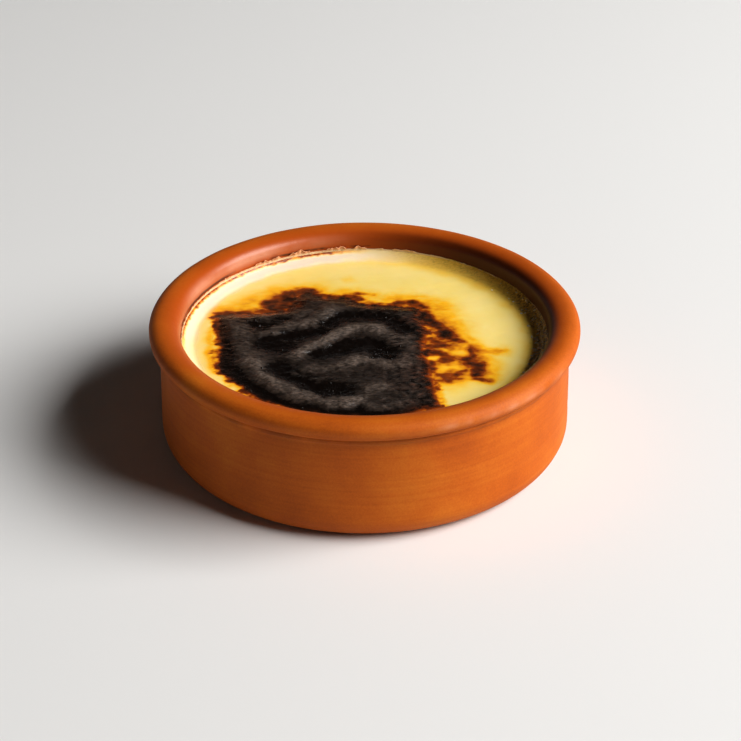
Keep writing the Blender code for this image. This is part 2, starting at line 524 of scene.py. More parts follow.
    def dark_line(self, tree: Tree, place: Socket, glaze: Socket) -> Socket:
        """Draws a thin dark line on the glaze, just above the frill.

        Args:
            tree: The clay's node tree.
            place: The place on the object.
            glaze: 1 where the dish is glazed.

        Returns:
            The socket with 1 on the line.
        """
        height = add_node(tree, "ShaderNodeSeparateXYZ", None, {"Vector": place})
        wander = add_node(
            tree, "ShaderNodeTexNoise", {"Scale": 1.0 / self.dark_line_wave, "Detail": 3.0}, {"Vector": place}
        )
        shifted = add_node(
            tree,
            "ShaderNodeMath",
            {"operation": "MULTIPLY_ADD", 1: self.dark_line_rise},
            {0: wander.outputs["Fac"], 2: height.outputs["Z"]},
        )
        above = add_node(
            tree,
            "ShaderNodeMath",
            {"operation": "SUBTRACT", 1: self.dark_line_height + 0.5 * self.dark_line_rise},
            {0: shifted.outputs["Value"]},
        )
        away = add_node(tree, "ShaderNodeMath", {"operation": "ABSOLUTE"}, {0: above.outputs["Value"]})
        line = add_node(
            tree,
            "ShaderNodeMapRange",
            {"From Min": 0.15 * MM, "From Max": 0.5 * MM, "To Min": 0.85, "To Max": 0.0},
            {"Value": away.outputs["Value"]},
        )
        broken = add_node(
            tree,
            "ShaderNodeMapRange",
            {"From Min": 0.4, "From Max": 0.52},
            {"Value": wander.outputs["Fac"]},
        )
        dashes = add_node(
            tree,
            "ShaderNodeMath",
            {"operation": "MULTIPLY"},
            {0: line.outputs["Result"], 1: broken.outputs["Result"]},
        )
        inside = add_node(
            tree, "ShaderNodeMath", {"operation": "MULTIPLY"}, {0: dashes.outputs["Value"], 1: glaze}
        )
        return inside.outputs["Value"]

    def glaze_cover(self, tree: Tree, place: Socket, wander: Socket) -> Socket:
        """Works out where the glaze lies: inside the lip and above the floor.

        Args:
            tree: The clay's node tree.
            place: The place on the object.
            wander: Noise that makes the edge of the glaze uneven.

        Returns:
            The socket with 0 on bare clay and 1 under full glaze.
        """
        flat = add_node(
            tree, "ShaderNodeVectorMath", {"operation": "MULTIPLY", 1: (1.0, 1.0, 0.0)}, {0: place}
        )
        radius = add_node(
            tree, "ShaderNodeVectorMath", {"operation": "LENGTH"}, {0: flat.outputs["Vector"]}
        )
        shifted = add_node(
            tree,
            "ShaderNodeMath",
            {"operation": "MULTIPLY_ADD", 1: 2.0 * MM},
            {0: wander, 2: radius.outputs["Value"]},
        )
        inward = add_node(
            tree,
            "ShaderNodeMapRange",
            {"From Min": self.glaze_outer + MM, "From Max": self.glaze_inner + MM},
            {"Value": shifted.outputs["Value"]},
        )
        height = add_node(tree, "ShaderNodeSeparateXYZ", None, {"Vector": place})
        above = add_node(
            tree,
            "ShaderNodeMapRange",
            {"From Min": self.glaze_floor, "From Max": self.glaze_floor + MM},
            {"Value": height.outputs["Z"]},
        )
        cover = add_node(
            tree,
            "ShaderNodeMath",
            {"operation": "MULTIPLY"},
            {0: inward.outputs["Result"], 1: above.outputs["Result"]},
        )
        return cover.outputs["Value"]


@dataclass(frozen=True)
class BakedMilkSkin:
    """The skin of a milk pudding, baked under strong top heat.

    The eye sees a satin cream that browns through gold and rust to a black, wrinkled char, grey on
    its folds with dry ash and painted sheen, and glossy in its hollows. Painted shade darkens the
    crust at the right wall and dulls the thickest milk film. It reads the point values "scorch",
    "crest", "film" and "crust", from 0 to 1.
    """

    pale_cream: str = "#F6E3A4"
    browning: tuple[tuple[float, str], ...] = (
        (0.0, "#F8DC78"),
        (0.12, "#F9CF50"),
        (0.23, "#FABC28"),
        (0.33, "#E0921C"),
        (0.44, "#9C4912"),
        (0.57, "#5E2B12"),
        (0.72, "#2B170E"),
        (0.95, "#110A07"),
    )
    # grey of the dry ash on the folds, with the light's sheen on them painted in
    ash_and_sheen: str = "#6D5E53"
    milk: str = "#E8DACB"
    # the duller milk where the film is thickest: painted shade on the climb that faces the light
    milk_in_painted_shade: str = "#DDCDB8"
    # brown crust at the right wall, darkened there as painted shade
    crust_and_shade: str = "#5C3C20"
    wrinkle: float = 1.5 * MM  # width of the wrinkles
    crackle: float = 0.5 * MM  # width of the finest cracks
    cloud: float = 9.0 * MM  # width of the paler clouds in the cream
    cream_roughness: float = 0.3
    char_roughness: float = 0.24
    dry_roughness: float = 0.4  # how much duller the dry folds are
    wet_roughness: float = -0.13  # how much glossier the milk film is
    specular: float = 0.4
    relief: float = 0.3 * MM
    depth_of_light: float = 1.5 * MM  # how far light wanders under the cream

    def material(self) -> bpy.types.Material:
        """Mixes the skin's colour, its gloss from char to wet film, and its wrinkles.

        Returns:
            The material.
        """
        material, tree, shader = new_material("milk pudding skin, set and browned in the oven")
        place = add_node(tree, "ShaderNodeTexCoord").outputs["Object"]
        stretched = add_node(tree, "ShaderNodeMapping", {"Scale": (0.45, 1.0, 1.0)}, {"Vector": place})
        fine, wrinkles = (
            add_node(
                tree,
                "ShaderNodeTexNoise",
                {"Scale": 1.0 / size, "Detail": detail, "Roughness": 0.6},
                {"Vector": stretched.outputs["Vector"]},
            ).outputs["Fac"]
            for size, detail in ((self.crackle, 3.0), (self.wrinkle, 4.0))
        )
        scorch = self.ragged_scorch(tree, wrinkles, fine)
        crest, film, crust_and_shade = (
            add_node(tree, "ShaderNodeAttribute", {"attribute_name": name}).outputs["Fac"]
            for name in ("crest", "film", "crust_and_shade")
        )
        colour = self.skin_colour(tree, place, scorch, fine, crest, film, crust_and_shade)
        tree.links.new(colour, shader.inputs["Base Color"])
        rough = add_node(
            tree,
            "ShaderNodeMapRange",
            {"To Min": self.cream_roughness, "To Max": self.char_roughness},
            {"Value": scorch},
        ).outputs["Result"]
        for source, share in ((crest, self.dry_roughness), (film, self.wet_roughness)):
            rough = add_node(
                tree, "ShaderNodeMath", {"operation": "MULTIPLY_ADD", 1: share}, {0: source, 2: rough}
            ).outputs["Value"]
        tree.links.new(rough, shader.inputs["Roughness"])
        coarse = add_node(
            tree, "ShaderNodeMath", {"operation": "MULTIPLY_ADD", 1: 0.5}, {0: fine, 2: wrinkles}
        )
        strength = add_node(
            tree, "ShaderNodeMapRange", {"To Min": 0.08, "To Max": 1.0}, {"Value": scorch}
        )
        bump = add_node(
            tree,
            "ShaderNodeBump",
            {"Distance": self.relief},
            {"Height": coarse.outputs["Value"], "Strength": strength.outputs["Result"]},
        )
        tree.links.new(bump.outputs["Normal"], shader.inputs["Normal"])
        shader.inputs["Specular IOR Level"].default_value = self.specular
        shader.inputs["Subsurface Weight"].default_value = 0.1
        shader.inputs["Subsurface Radius"].default_value = (1.0, 0.6, 0.3)
        shader.inputs["Subsurface Scale"].default_value = self.depth_of_light
        return material

    def ragged_scorch(self, tree: Tree, wrinkles: Socket, fine: Socket) -> Socket:
        """Breaks up the browning where it is between cream and char.

        Args:
            tree: The skin's node tree.
            wrinkles: Noise at the size of the wrinkles.
            fine: Noise at the size of the crackle.

        Returns:
            The socket with the ragged scorch from 0 to 1.
        """
        painted = add_node(tree, "ShaderNodeAttribute", {"attribute_name": "scorch"}).outputs["Fac"]
        rest = add_node(tree, "ShaderNodeMath", {"operation": "SUBTRACT", 0: 1.0}, {1: painted})
        middle = add_node(
            tree, "ShaderNodeMath", {"operation": "MULTIPLY"}, {0: painted, 1: rest.outputs["Value"]}
        )
        both = add_node(
            tree, "ShaderNodeMath", {"operation": "MULTIPLY_ADD", 1: 0.5}, {0: fine, 2: wrinkles}
        )
        # The two noises add up to about 0.75 in the middle, and half of what departs from it shows.
        centred = add_node(
            tree, "ShaderNodeMath", {"operation": "SUBTRACT", 1: 0.75}, {0: both.outputs["Value"]}
        )
        scaled = add_node(
            tree, "ShaderNodeMath", {"operation": "MULTIPLY", 1: 0.5}, {0: centred.outputs["Value"]}
        )
        ragged = add_node(
            tree,
            "ShaderNodeMath",
            {"operation": "MULTIPLY_ADD", "use_clamp": True},
            {0: scaled.outputs["Value"], 1: middle.outputs["Value"], 2: painted},
        )
        return ragged.outputs["Value"]

    def skin_colour(
        self,
        tree: Tree,
        place: Socket,
        scorch: Socket,
        fine: Socket,
        crest: Socket,
        film: Socket,
        crust_and_shade: Socket,
    ) -> Socket:
        """Colours the skin from its scorch, greys the folds with ash and painted sheen, and adds the film
        and the crust with painted shade at the wall.

        Args:
            tree: The skin's node tree.
            place: The place on the object.
            scorch: How burnt the skin is.
            fine: Noise at the size of the crackle.
            crest: How far a place is up a fold.
            film: How much of the pale milk film covers it.
            crust_and_shade: How much of the brown crust covers it, darkened as painted shade at the right
                wall.

        Returns:
            The socket with the finished colour.
        """
        browned = add_node(tree, "ShaderNodeValToRGB", None, {"Fac": scorch})
        set_ramp(browned, list(self.browning))
        clouds = add_node(
            tree, "ShaderNodeTexNoise", {"Scale": 1.0 / self.cloud, "Detail": 3.0}, {"Vector": place}
        ).outputs["Fac"]
        # The thickest film turns to the duller milk: painted shade on the climb that faces the light.
        milk = add_node(tree, "ShaderNodeValToRGB", None, {"Fac": film})
        set_ramp(milk, [(0.7, self.milk), (1.0, self.milk_in_painted_shade)])
        # Each layer's share is an amount times a source that is stretched from one range to another.
        shares = []
        for amount, source, low, high, least, most in (
            (clouds, scorch, 0.0, 0.2, 0.8, 0.0),  # paler clouds where the skin hardly browned
            (crest, fine, 0.36, 0.62, 0.25, 1.0),  # ash on the dry folds, and painted sheen there
            (crust_and_shade, fine, 0.42, 0.6, 0.15, 1.0),  # crust at the wall, darkened as painted shade, broken up by the crackle
        ):
            stretched = add_node(
                tree,
                "ShaderNodeMapRange",
                {"From Min": low, "From Max": high, "To Min": least, "To Max": most},
                {"Value": source},
            )
            share = add_node(
                tree,
                "ShaderNodeMath",
                {"operation": "MULTIPLY"},
                {0: amount, 1: stretched.outputs["Result"]},
            )
            shares.append(share.outputs["Value"])
        unbaked, dust_and_sheen, flecked = shares
        colour = browned.outputs["Color"]
        for share, plain, linked in (
            (unbaked, {7: linear(self.pale_cream)}, {}),
            (dust_and_sheen, {7: linear(self.ash_and_sheen)}, {}),
            (film, {}, {7: milk.outputs["Color"]}),
            (flecked, {7: linear(self.crust_and_shade)}, {}),
        ):
            colour = add_node(
                tree, "ShaderNodeMix", {"data_type": "RGBA"} | plain, {0: share, 6: colour} | linked
            ).outputs[2]
        return colour


@dataclass(frozen=True)
class DriedMilk:
    """Milk that boiled up and dried on the hot wall of the dish.

    The eye sees a thin, pinkish white film, thickest at the pudding, through which the clay shows
    where it is thin.
    """

    thick: str = "#E6CDA6"
    thin: str = "#D9A078"
    grain: float = 0.7 * MM

    def material(self) -> bpy.types.Material:
        """Mixes the dried milk, through which the clay shows where it is thin.

        Returns:
            The material. It reads the point value "thin".
        """
        material, tree, shader = new_material("milk, dried on the hot wall")
        place = add_node(tree, "ShaderNodeTexCoord").outputs["Object"]
        grain = add_node(
            tree, "ShaderNodeTexNoise", {"Scale": 1.0 / self.grain, "Detail": 3.0}, {"Vector": place}
        )
        thin = add_node(tree, "ShaderNodeAttribute", {"attribute_name": "thin"}).outputs["Fac"]
        worn = add_node(
            tree,
            "ShaderNodeMath",
            {"operation": "MULTIPLY_ADD", 1: 0.6},
            {0: grain.outputs["Fac"], 2: thin},
        )
        colour = add_node(tree, "ShaderNodeValToRGB", None, {"Fac": worn.outputs["Value"]})
        set_ramp(colour, [(0.3, self.thick), (1.0, self.thin)])
        tree.links.new(colour.outputs["Color"], shader.inputs["Base Color"])
        shader.inputs["Roughness"].default_value = 0.5
        bump = add_node(
            tree,
            "ShaderNodeBump",
            {"Strength": 0.6, "Distance": 0.15 * MM},
            {"Height": grain.outputs["Fac"]},
        )
        tree.links.new(bump.outputs["Normal"], shader.inputs["Normal"])
        return material


# ---------------------------------------------------------------------------------------------
# Dish
# ---------------------------------------------------------------------------------------------


@dataclass
class ThrownDish:
    """The round dish: a thrown wall with a rolled rim, a low collar and a flat base."""

    rim_radius: float = 60.0 * MM
    rim_widest_height: float = 35.0 * MM
    height: float = 37.6 * MM
    crest_radius: float = 56.3 * MM
    undercut_radius: float = 58.2 * MM
    undercut_height: float = 32.4 * MM
    collar_radius: float = 57.8 * MM
    collar_height: float = 31.6 * MM
    collar_foot_height: float = 30.6 * MM
    wall_top_radius: float = 57.2 * MM
    wall_top_height: float = 30.0 * MM
    wall_foot_radius: float = 57.8 * MM
    foot_rounding: float = 7.0 * MM
    floor_thickness: float = 5.0 * MM
    floor_rounding: float = 6.0 * MM
    inner_foot_radius: float = 49.6 * MM
    lip_inner_radius: float = 51.5 * MM
    lip_inner_height: float = 34.2 * MM
    steps: int = 256  # facets round the dish
    line_depth: float = 0.05 * MM  # depth of the turning lines
    line_spacing: float = 1.6 * MM
    wobble: float = 0.22 * MM  # how far the hand-thrown wall strays
    press_size: float = 26.0 * MM  # width of the places where it strays
    sheen_low: float = 33.0 * MM  # heights between which the painted sheen lies inside the lip
    sheen_top: float = 37.0 * MM
    shade_top: float = 37.5 * MM  # height up to which the painted shade reaches inside the lip
    sheen_side: Point = (136.0, 33.0)  # bearing of the painted sheen's middle and reach to each side, in degrees
    # the same for the painted highlight on the rim's widest line
    highlight_side: Point = (-50.0, 26.0)
    # the same for the painted shade inside the lip, on the side away from the light
    shade_side: Point = (24.0, 62.0)
    finish: Terracotta = field(default_factory=Terracotta)

    def inner_radius(self, height: float) -> float:
        """Works out how wide the inside of the dish is.

        Args:
            height: A height above the floor's rounding.

        Returns:
            The radius there.
        """
        low = self.floor_thickness + self.floor_rounding
        share = (height - low) / (self.lip_inner_height - low)
        return self.inner_foot_radius + share * (self.lip_inner_radius - self.inner_foot_radius)

    def turned(self, radius: float, height: float) -> Point:
        """Returns a place on a turned wall, with the faint line that the wheel left there."""
        mark = noise.fractal((height / self.line_spacing, 0.5, 0.5), 1.0, 2.0, 2)
        return (radius + self.line_depth * mark, height)

    def inner_wall(self, count: int = 24) -> list[Point]:
        """Draws the inside wall from the floor's rounding up to the lip.

        Args:
            count: How many spans the wall is drawn in.

        Returns:
            Its points (r, z), from the bottom to the top.
        """
        low = self.floor_thickness + self.floor_rounding
        heights = [low + (self.lip_inner_height - low) * i / count for i in range(1, count)]
        return [self.turned(self.inner_radius(h), h) for h in heights]

    def outer_wall(self, count: int = 48) -> list[Point]:
        """Draws the outside wall from the collar down to the foot.

        Args:
            count: How many spans the wall is drawn in.

        Returns:
            Its points (r, z), from the top to the bottom.
        """
        drop = self.wall_top_height - self.foot_rounding
        flare = self.wall_foot_radius - self.wall_top_radius
        shares = [i / count for i in range(1, count)]
        return [
            self.turned(self.wall_top_radius + flare * s, self.wall_top_height - drop * s) for s in shares
        ]

    def section(self) -> list[Point]:
        """Draws the half section of the dish.

        Returns:
            Its points (r, z), from the middle of the floor over the rim to the middle of the base.
        """
        corner = (self.inner_foot_radius - self.floor_rounding, self.floor_thickness + self.floor_rounding)
        rounding = (self.floor_rounding, self.floor_rounding)
        lip = (self.crest_radius - self.lip_inner_radius, self.height - self.lip_inner_height)
        rim = (self.rim_radius - self.crest_radius, self.height - self.rim_widest_height)
        under = (self.rim_radius - self.undercut_radius, self.rim_widest_height - self.undercut_height)
        foot = (self.foot_rounding, self.foot_rounding)
        return [
            (0.0, self.floor_thickness),
            *elliptic_arc(corner, rounding, -90, 0, 8),
            *self.inner_wall(),
            *elliptic_arc((self.crest_radius, self.lip_inner_height), lip, 180, 90, 18),
            *elliptic_arc((self.crest_radius, self.rim_widest_height), rim, 84, 0, 14),
            *elliptic_arc((self.undercut_radius, self.rim_widest_height), under, -10, -90, 9),
            (self.collar_radius - 0.1 * MM, self.collar_height + 0.2 * MM),
            (self.collar_radius, self.collar_height - 0.1 * MM),
            (self.collar_radius, self.collar_foot_height + 0.2 * MM),
            (self.collar_radius - 0.15 * MM, self.collar_foot_height),
            (self.wall_top_radius, self.wall_top_height + 0.1 * MM),
            *self.outer_wall(),
            *elliptic_arc((self.wall_foot_radius - foot[0], foot[1]), foot, 0, -90, 14),
            (0.0, 0.0),
        ]

    def build(self) -> Piece:
        """Draws the half section point by point, spins it and roughs it by hand.

        Returns:
            The finished dish.
        """
        section = self.section()
        bpy.ops.object.select_all(action="DESELECT")
        bpy.ops.mesh.primitive_plane_add(size=MM, location=(0.0, 0.0, 0.0))
        dish = bpy.context.active_object
        dish.name = "thrown_dish"
        bpy.ops.object.mode_set(mode="EDIT")
        bpy.ops.mesh.select_mode(type="VERT")
        bpy.ops.mesh.select_all(action="SELECT")
        bpy.ops.mesh.merge(type="CENTER")
        bpy.ops.transform.translate(value=(section[0][0], 0.0, section[0][1]))
        for (r_from, z_from), (r_to, z_to) in zip(section, section[1:]):
            step = (r_to - r_from, 0.0, z_to - z_from)
            bpy.ops.mesh.extrude_vertices_move(TRANSFORM_OT_translate={"value": step})
        bpy.ops.mesh.select_all(action="SELECT")
        bpy.ops.mesh.spin(steps=self.steps, angle=math.tau, center=(0.0, 0.0, 0.0), axis=(0.0, 0.0, 1.0))
        bpy.ops.mesh.select_all(action="SELECT")
        bpy.ops.mesh.remove_doubles(threshold=0.005 * MM)
        bpy.ops.mesh.normals_make_consistent(inside=False)
        bpy.ops.object.mode_set(mode="OBJECT")
        self.stray(dish)
        self.paint_light_and_shade(dish)
        dress(dish, self.finish.material(), 50.0)
        add_to_model(dish, "terracotta_dish")
        return dish

    def paint_light_and_shade(self, dish: Piece) -> None:
        """Stores the painted sheen and shade inside the lip, and the painted highlight and shade outside.

        Args:
            dish: The spun dish.
        """
        x, y, z = places_of(dish)
        # Painted sheen inside the lip and painted highlight on the rim, where the light's reflection falls.
        sheen_window, highlight_window, shade_window = (
            np.exp(-(((np.arctan2(y, x) - math.radians(middle)) / math.radians(reach)) ** 4))
            for middle, reach in (self.sheen_side, self.highlight_side, self.shade_side)
        )
        inside = np.hypot(x, y) < self.crest_radius
        band = smooth_step((z - self.sheen_low) / (0.5 * MM)) * smooth_step((self.sheen_top - z) / (2.2 * MM))
        # noise that breaks up the painted highlight
        worn = np.clip(0.5 + 0.9 * noise_field(x, y, 5.0 * MM, 3, 1.0, 11.0), 0.0, 1.0)
        widest = np.exp(-(((z - self.rim_widest_height) / (0.9 * MM)) ** 2)) * ~inside
        paint(dish, "painted_sheen", np.maximum(sheen_window * band * inside, 0.7 * highlight_window * worn * widest))
        # Painted shade: darker inside the lip away from the light, and in the crease under the rim.
        low = smooth_step((self.shade_top - z) / (1.5 * MM)) * (z > self.lip_inner_height - 6.0 * MM)
        under_rim_shade = np.exp(-(((z - self.undercut_height + 1.2 * MM) / (1.5 * MM)) ** 2)) * ~inside
        shade_breakup = np.clip(0.5 + 1.1 * noise_field(x, y, 9.0 * MM, 3, 1.0, 12.0), 0.0, 1.0)
        paint(dish, "painted_shade", np.maximum(0.85 * shade_window * low * inside, 0.4 * under_rim_shade * shade_breakup))

    def stray(self, dish: Piece) -> None:
        """Lets the wall and rim stray a little from true, and leaves the base flat.

        Args:
            dish: The spun dish.
        """
        _, _, z = places_of(dish)
        group = dish.vertex_groups.new(name="wall")
        high = np.flatnonzero(z > self.floor_thickness)
        group.add([int(i) for i in high], 1.0, "REPLACE")
        lumps = bpy.data.textures.new("hand pressure", "CLOUDS")
        lumps.noise_scale = self.press_size
        apply_modifier(
            dish, "DISPLACE", texture=lumps, strength=self.wobble, mid_level=0.5, vertex_group="wall"
        )
        dish.vertex_groups.clear()


# ---------------------------------------------------------------------------------------------
# Pudding
# ---------------------------------------------------------------------------------------------


class FoldKind(Enum):
    """What a line on the burnt skin does to it."""

    CREST = "crest"  # pushed up, where the skin dries out and turns grey
    HOLLOW = "hollow"  # sunk, where it stays black and glossy


@dataclass(frozen=True)
class Fold:
    """A fold or a hollow of the burnt skin, in millimetres from the dish's axis."""

    kind: FoldKind
    half_width: float
    height: float
    line: tuple[Point, ...]

    def share(self, x: np.ndarray, y: np.ndarray) -> np.ndarray:
        """Returns how strongly each place belongs to the fold, 1 on its line."""
        distance = line_distance(x, y, smooth_line(self.line))
        return np.exp(-((distance / (self.half_width * MM)) ** 2))


@dataclass(frozen=True)
class Toasting:
    """A browner or paler place beside the burnt patch, in millimetres from the dish's axis."""

    scorch: float  # at its middle; negative for a place that stayed paler
    half_width: float
    line: tuple[Point, ...]

    def share(self, x: np.ndarray, y: np.ndarray) -> np.ndarray:
        """Returns how much it scorches each place, or spares it."""
        distance = line_distance(x, y, smooth_line(self.line))
        return abs(self.scorch) * np.exp(-((distance / (self.half_width * MM)) ** 2))


CREST, HOLLOW = FoldKind.CREST, FoldKind.HOLLOW
# Kind, half width, height and line of each, from the left of the patch to the right.
FOLDS = (
    Fold(CREST, 4.2, 0.4, ((-37, 8.4), (-35.4, 1.2), (-33.2, -7.3), (-30.6, -15))),
    Fold(
        CREST, 3.1, 0.85, ((-30.6, -15), (-26, -24), (-20.4, -30), (-13, -34.8), (-7, -35.8), (-3, -34.6))
    ),
    Fold(CREST, 3.4, 0.3, ((-36, 10.6), (-30, 11), (-23.4, 11.6), (-17, 14))),
    Fold(CREST, 3.0, 0.7, ((-27.7, 1.8), (-21.3, 4.6), (-16.3, 7.6), (-12.7, 11), (-9.1, 14.4))),
    Fold(CREST, 3.0, 0.45, ((-9.1, 14.4), (-4.9, 16.6), (1, 16.8), (6, 15.8))),
    Fold(CREST, 2.7, 0.9, ((-19, -11), (-16, -7.2), (-10.6, -2.2), (-6, 2.2), (-0.9, 4.4), (4, 2.6))),
    Fold(CREST, 3.6, 0.5, ((4, 2.6), (8.4, -0.8), (11.8, -5), (13.2, -9), (12.4, -12.5))),
    Fold(CREST, 2.1, 0.55, ((-16.3, -19), (-11, -18.6), (-7, -17))),
    Fold(CREST, 2.6, 0.7, ((-7, -17), (-2.6, -14.4), (1.6, -14), (5.6, -16))),
    Fold(CREST, 2.8, 0.45, ((5.6, -16), (10, -16.4), (14, -13.6))),
    Fold(CREST, 1.9, 0.45, ((-20, -20.6), (-16, -23), (-12, -24.2))),
    Fold(CREST, 2.8, 0.55, ((-3, -34.6), (0, -31), (4.5, -28.2))),
    Fold(CREST, 1.9, 0.4, ((0, -37.6), (4, -38), (9, -37.2))),
    Fold(CREST, 2.4, 0.3, ((9.5, 13.6), (13.5, 11), (15, 7))),
    Fold(HOLLOW, 2.3, 0.4, ((-31, 7.4), (-27.5, 7))),
    Fold(HOLLOW, 1.2, 0.3, ((-27, 9.6), (-22, 10))),
    Fold(HOLLOW, 2.7, 0.6, ((-11, 7.6), (-7, 11.4), (-2, 12.6), (5, 11.6), (9, 7.6), (11, 4))),
    Fold(HOLLOW, 2.5, 0.6, ((-27, -1), (-19, 0.6), (-12.5, 2.2))),
    Fold(HOLLOW, 3.0, 0.5, ((-28, -5), (-24, -6.6), (-20.5, -6.8))),
    Fold(HOLLOW, 3.0, 0.6, ((-12.5, -9.6), (-7, -7.4), (-1.5, -4.2), (3, -6.2))),
    Fold(HOLLOW, 2.5, 0.5, ((3.5, -7.6), (8.5, -8.8))),
    Fold(HOLLOW, 1.6, 0.4, ((3.2, -11), (7.5, -12))),
    Fold(HOLLOW, 3.6, 0.6, ((-24, -18), (-18.6, -23.4), (-11, -28.4), (-6.5, -30))),
    Fold(HOLLOW, 2.6, 0.4, ((-39.6, -4), (-38.2, -12), (-35.4, -20.5), (-30.4, -28), (-23, -34.5))),
    Fold(HOLLOW, 2.4, 0.4, ((-23, -34.5), (-14, -39), (-4, -40.6), (6, -41))),
)

# The edge of the burnt patch, in millimetres from the dish's axis.
BURNT_OUTLINE = (
    (-43, 12.6), (-37, 13.6), (-31, 14.2), (-26, 14.8), (-22, 15.8), (-20.8, 18.4), (-21, 21.6),
    (-20, 24.2), (-17, 25.4), (-13, 24.4), (-9, 23.2), (-4, 22.2), (-2, 19.8), (1, 18.4), (6, 18),
    (11, 18), (15, 17.8),
    (17.2, 15), (17.6, 10), (18.6, 5), (19.5, 2), (18.8, -1), (17.6, -4), (18, -7), (18, -11), (18.8, -15),
    (19.8, -18), (19.4, -22), (20, -26), (20, -30), (20.4, -34), (21.4, -38), (15, -41.6), (0, -43),
    (-15, -40.6), (-25, -35.6), (-33, -29), (-36, -24.6), (-39.5, -19.6), (-41, -12.8), (-41.5, -5.8),
    (-41, 1), (-42.3, 7),
)  # fmt: skip

# Scorch, half width and line of each.
TOASTING = (
    # Rust along the upper left, over the top, and at the upper right corner.
    Toasting(0.52, 2.9, ((-41.5, 13), (-37, 14.5), (-33, 15.3))),
    Toasting(0.5, 4.4, ((-27.5, 17.5), (-26.5, 20.5), (-25, 22.5))),
    Toasting(0.54, 2.6, ((-36, 14.8), (-30, 15.4), (-26, 16.6), (-22.5, 18.5))),
    Toasting(0.58, 3.6, ((-24, 18), (-22.5, 22.5), (-21, 25.5))),
    Toasting(0.54, 3.0, ((-22, 26.6), (-18, 28), (-15.5, 27.6))),
    Toasting(0.58, 1.9, ((-14, 25.2), (-11, 24), (-7, 23.6))),
    Toasting(0.5, 2.0, ((-5.5, 24.6), (-3.5, 24.8), (-1.5, 22.5))),
    Toasting(0.36, 1.6, ((-3, 26), (1.5, 25.7))),
    Toasting(0.42, 1.8, ((0, 20.3), (5, 19.8), (9, 19.6))),
    Toasting(0.47, 2.8, ((9.5, 19.6), (13.5, 20), (17, 18.3))),
    Toasting(0.6, 3.0, ((16, 15.5), (18.5, 10.5), (21, 5.5), (24, 1))),
    # The amber wash on the right, with its rusty strands.
    Toasting(0.45, 6.4, ((21, -2), (22.6, -9), (23.8, -17), (22.8, -20))),
    Toasting(0.36, 4.8, ((29.5, -7), (31, -14), (31, -20))),
    Toasting(0.5, 2.8, ((18, 4.5), (21, 1.6), (24, -0.4), (26.5, -2.8))),
    Toasting(0.4, 2.6, ((19, -4), (21.5, -5), (24.5, -4.4))),
    Toasting(0.5, 2.2, ((17, -8), (19.5, -9))),
    Toasting(0.52, 2.3, ((20.5, -10), (22, -11.5), (23.8, -13))),
    Toasting(0.5, 1.6, ((29.5, -7), (30.2, -9), (29.8, -11.5))),
    Toasting(0.58, 3.3, ((28.5, -12.8), (30.8, -16), (30.5, -19.5))),
    Toasting(0.54, 2.3, ((27.5, -14), (26.5, -18), (24, -20.5))),
    Toasting(0.54, 2.6, ((18.5, -14), (18, -17.5))),
    Toasting(0.48, 1.8, ((19, -19), (21.8, -22))),
    Toasting(0.46, 2.0, ((30, -22.6), (33.5, -23.6))),
    Toasting(0.42, 1.6, ((26, -22), (23, -23.6), (19.5, -24))),
    # Places there that stayed pale.
    Toasting(-0.5, 2.0, ((25, -8), (27.5, -9))),
    Toasting(-0.5, 1.2, ((18.6, -11.4), (19.4, -11.6))),
    Toasting(-0.45, 1.0, ((21.5, -6.8), (22.5, -7.2))),
    Toasting(-0.5, 2.0, ((21.8, -16.4), (24, -16))),
    Toasting(-0.3, 1.2, ((20.5, -18), (21.5, -18.3))),
    # The golden clouds round the patch.
    Toasting(0.22, 5.0, ((-42, 16.5), (-36, 18), (-31, 23))),
    Toasting(0.21, 5.0, ((-29, 25), (-22, 29), (-14, 29))),
    Toasting(0.19, 4.4, ((-11, 26), (-5, 26.5), (2, 24))),
    Toasting(0.22, 5.0, ((3, 20.5), (10, 22.4), (17, 21.4), (20, 17))),
    Toasting(0.27, 6.0, ((21, 17), (22, 11), (24.5, 5))),
    Toasting(0.22, 3.2, ((26, 4), (29, -1), (31, -4))),
    Toasting(0.28, 2.6, ((31, -6), (34, -7.5), (38, -7.5))),
    Toasting(0.22, 3.4, ((34, -13), (35, -18), (34, -22))),
    Toasting(0.2, 1.3, ((-43.8, 6), (-43.2, -4), (-42.6, -12), (-41, -19))),
    Toasting(0.12, 1.8, ((-5.5, 35), (-4, 35.3))),
)


